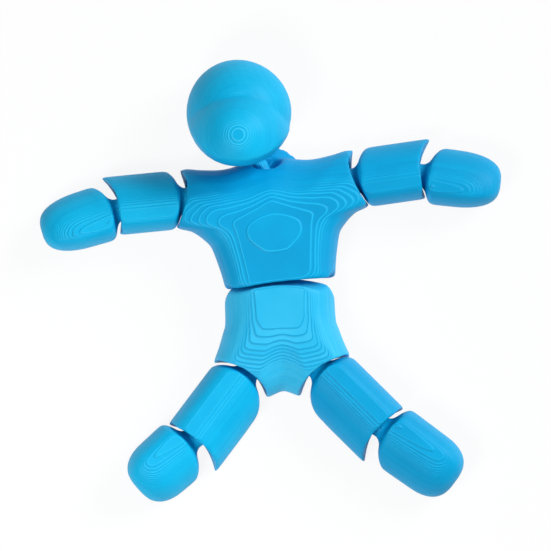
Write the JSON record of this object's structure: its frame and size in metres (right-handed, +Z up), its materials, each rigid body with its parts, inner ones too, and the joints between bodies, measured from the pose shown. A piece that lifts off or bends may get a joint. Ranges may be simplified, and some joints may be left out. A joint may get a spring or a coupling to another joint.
{
  "type": "articulated robot figure",
  "caption": "Jointed toy figure printed in blue plastic, lying on its back, with a round head, flat back and ball-jointed neck, waist, arms and legs.",
  "frame": {"origin": "on the table, below the middle of the posed figure's outline", "axes": "+Z up from the table through the figure's front, +Y towards the head, +X towards the figure's own left hand"},
  "size_m": [0.1064, 0.1018, 0.0266],
  "materials": {
    "blue_plastic": "satin, printed in fine layers"
  },
  "bodies": {
    "chest": {"chest": "blue_plastic"},
    "head": {"head": "blue_plastic"},
    "pelvis": {"pelvis": "blue_plastic"},
    "left_upper_arm": {"left_upper_arm": "blue_plastic"},
    "left_hand": {"left_hand": "blue_plastic"},
    "left_thigh": {"left_thigh": "blue_plastic"},
    "left_foot": {"left_foot": "blue_plastic"},
    "right_upper_arm": {"right_upper_arm": "blue_plastic"},
    "right_hand": {"right_hand": "blue_plastic"},
    "right_thigh": {"right_thigh": "blue_plastic"},
    "right_foot": {"right_foot": "blue_plastic"}
  },
  "joints": [
    {"name": "neck", "type": "hinge", "parent": "chest", "child": "head", "pos_m": [-0.0004, 0.02286, 0.0056], "axis": [0, 0, 1], "range_deg": [-37.5, 4]},
    {"name": "waist", "type": "hinge", "parent": "chest", "child": "pelvis", "pos_m": [0.00172, 0.00448, 0.0056], "axis": [0, 0, 1], "range_deg": [-1.5, 9.5]},
    {"name": "left_shoulder", "type": "hinge", "parent": "chest", "child": "left_upper_arm", "pos_m": [0.0154, 0.02287, 0.0056], "axis": [0, 0, 1], "range_deg": [-2.5, 16]},
    {"name": "left_elbow", "type": "hinge", "parent": "left_upper_arm", "child": "left_hand", "pos_m": [0.03068, 0.02507, 0.0056], "axis": [0, 0, 1], "range_deg": [-2.5, 20]},
    {"name": "right_shoulder", "type": "hinge", "parent": "chest", "child": "right_upper_arm", "pos_m": [-0.01579, 0.01926, 0.0056], "axis": [0, 0, 1], "range_deg": [-17, 1.5]},
    {"name": "right_elbow", "type": "hinge", "parent": "right_upper_arm", "child": "right_hand", "pos_m": [-0.03116, 0.01776, 0.0056], "axis": [0, 0, 1], "range_deg": [-16.5, 6]},
    {"name": "left_hip", "type": "hinge", "parent": "pelvis", "child": "left_thigh", "pos_m": [0.00785, -0.01749, 0.0056], "axis": [0, 0, 1], "range_deg": [-15, 1]},
    {"name": "left_knee", "type": "hinge", "parent": "left_thigh", "child": "left_foot", "pos_m": [0.02178, -0.03127, 0.0056], "axis": [0, 0, 1], "range_deg": [-18.5, 5]},
    {"name": "right_hip", "type": "hinge", "parent": "pelvis", "child": "right_thigh", "pos_m": [-0.00254, -0.01792, 0.0056], "axis": [0, 0, 1], "range_deg": [-4.5, 11.5]},
    {"name": "right_knee", "type": "hinge", "parent": "right_thigh", "child": "right_foot", "pos_m": [-0.01434, -0.03357, 0.0056], "axis": [0, 0, 1], "range_deg": [-2.5, 21.5]}
  ]
}
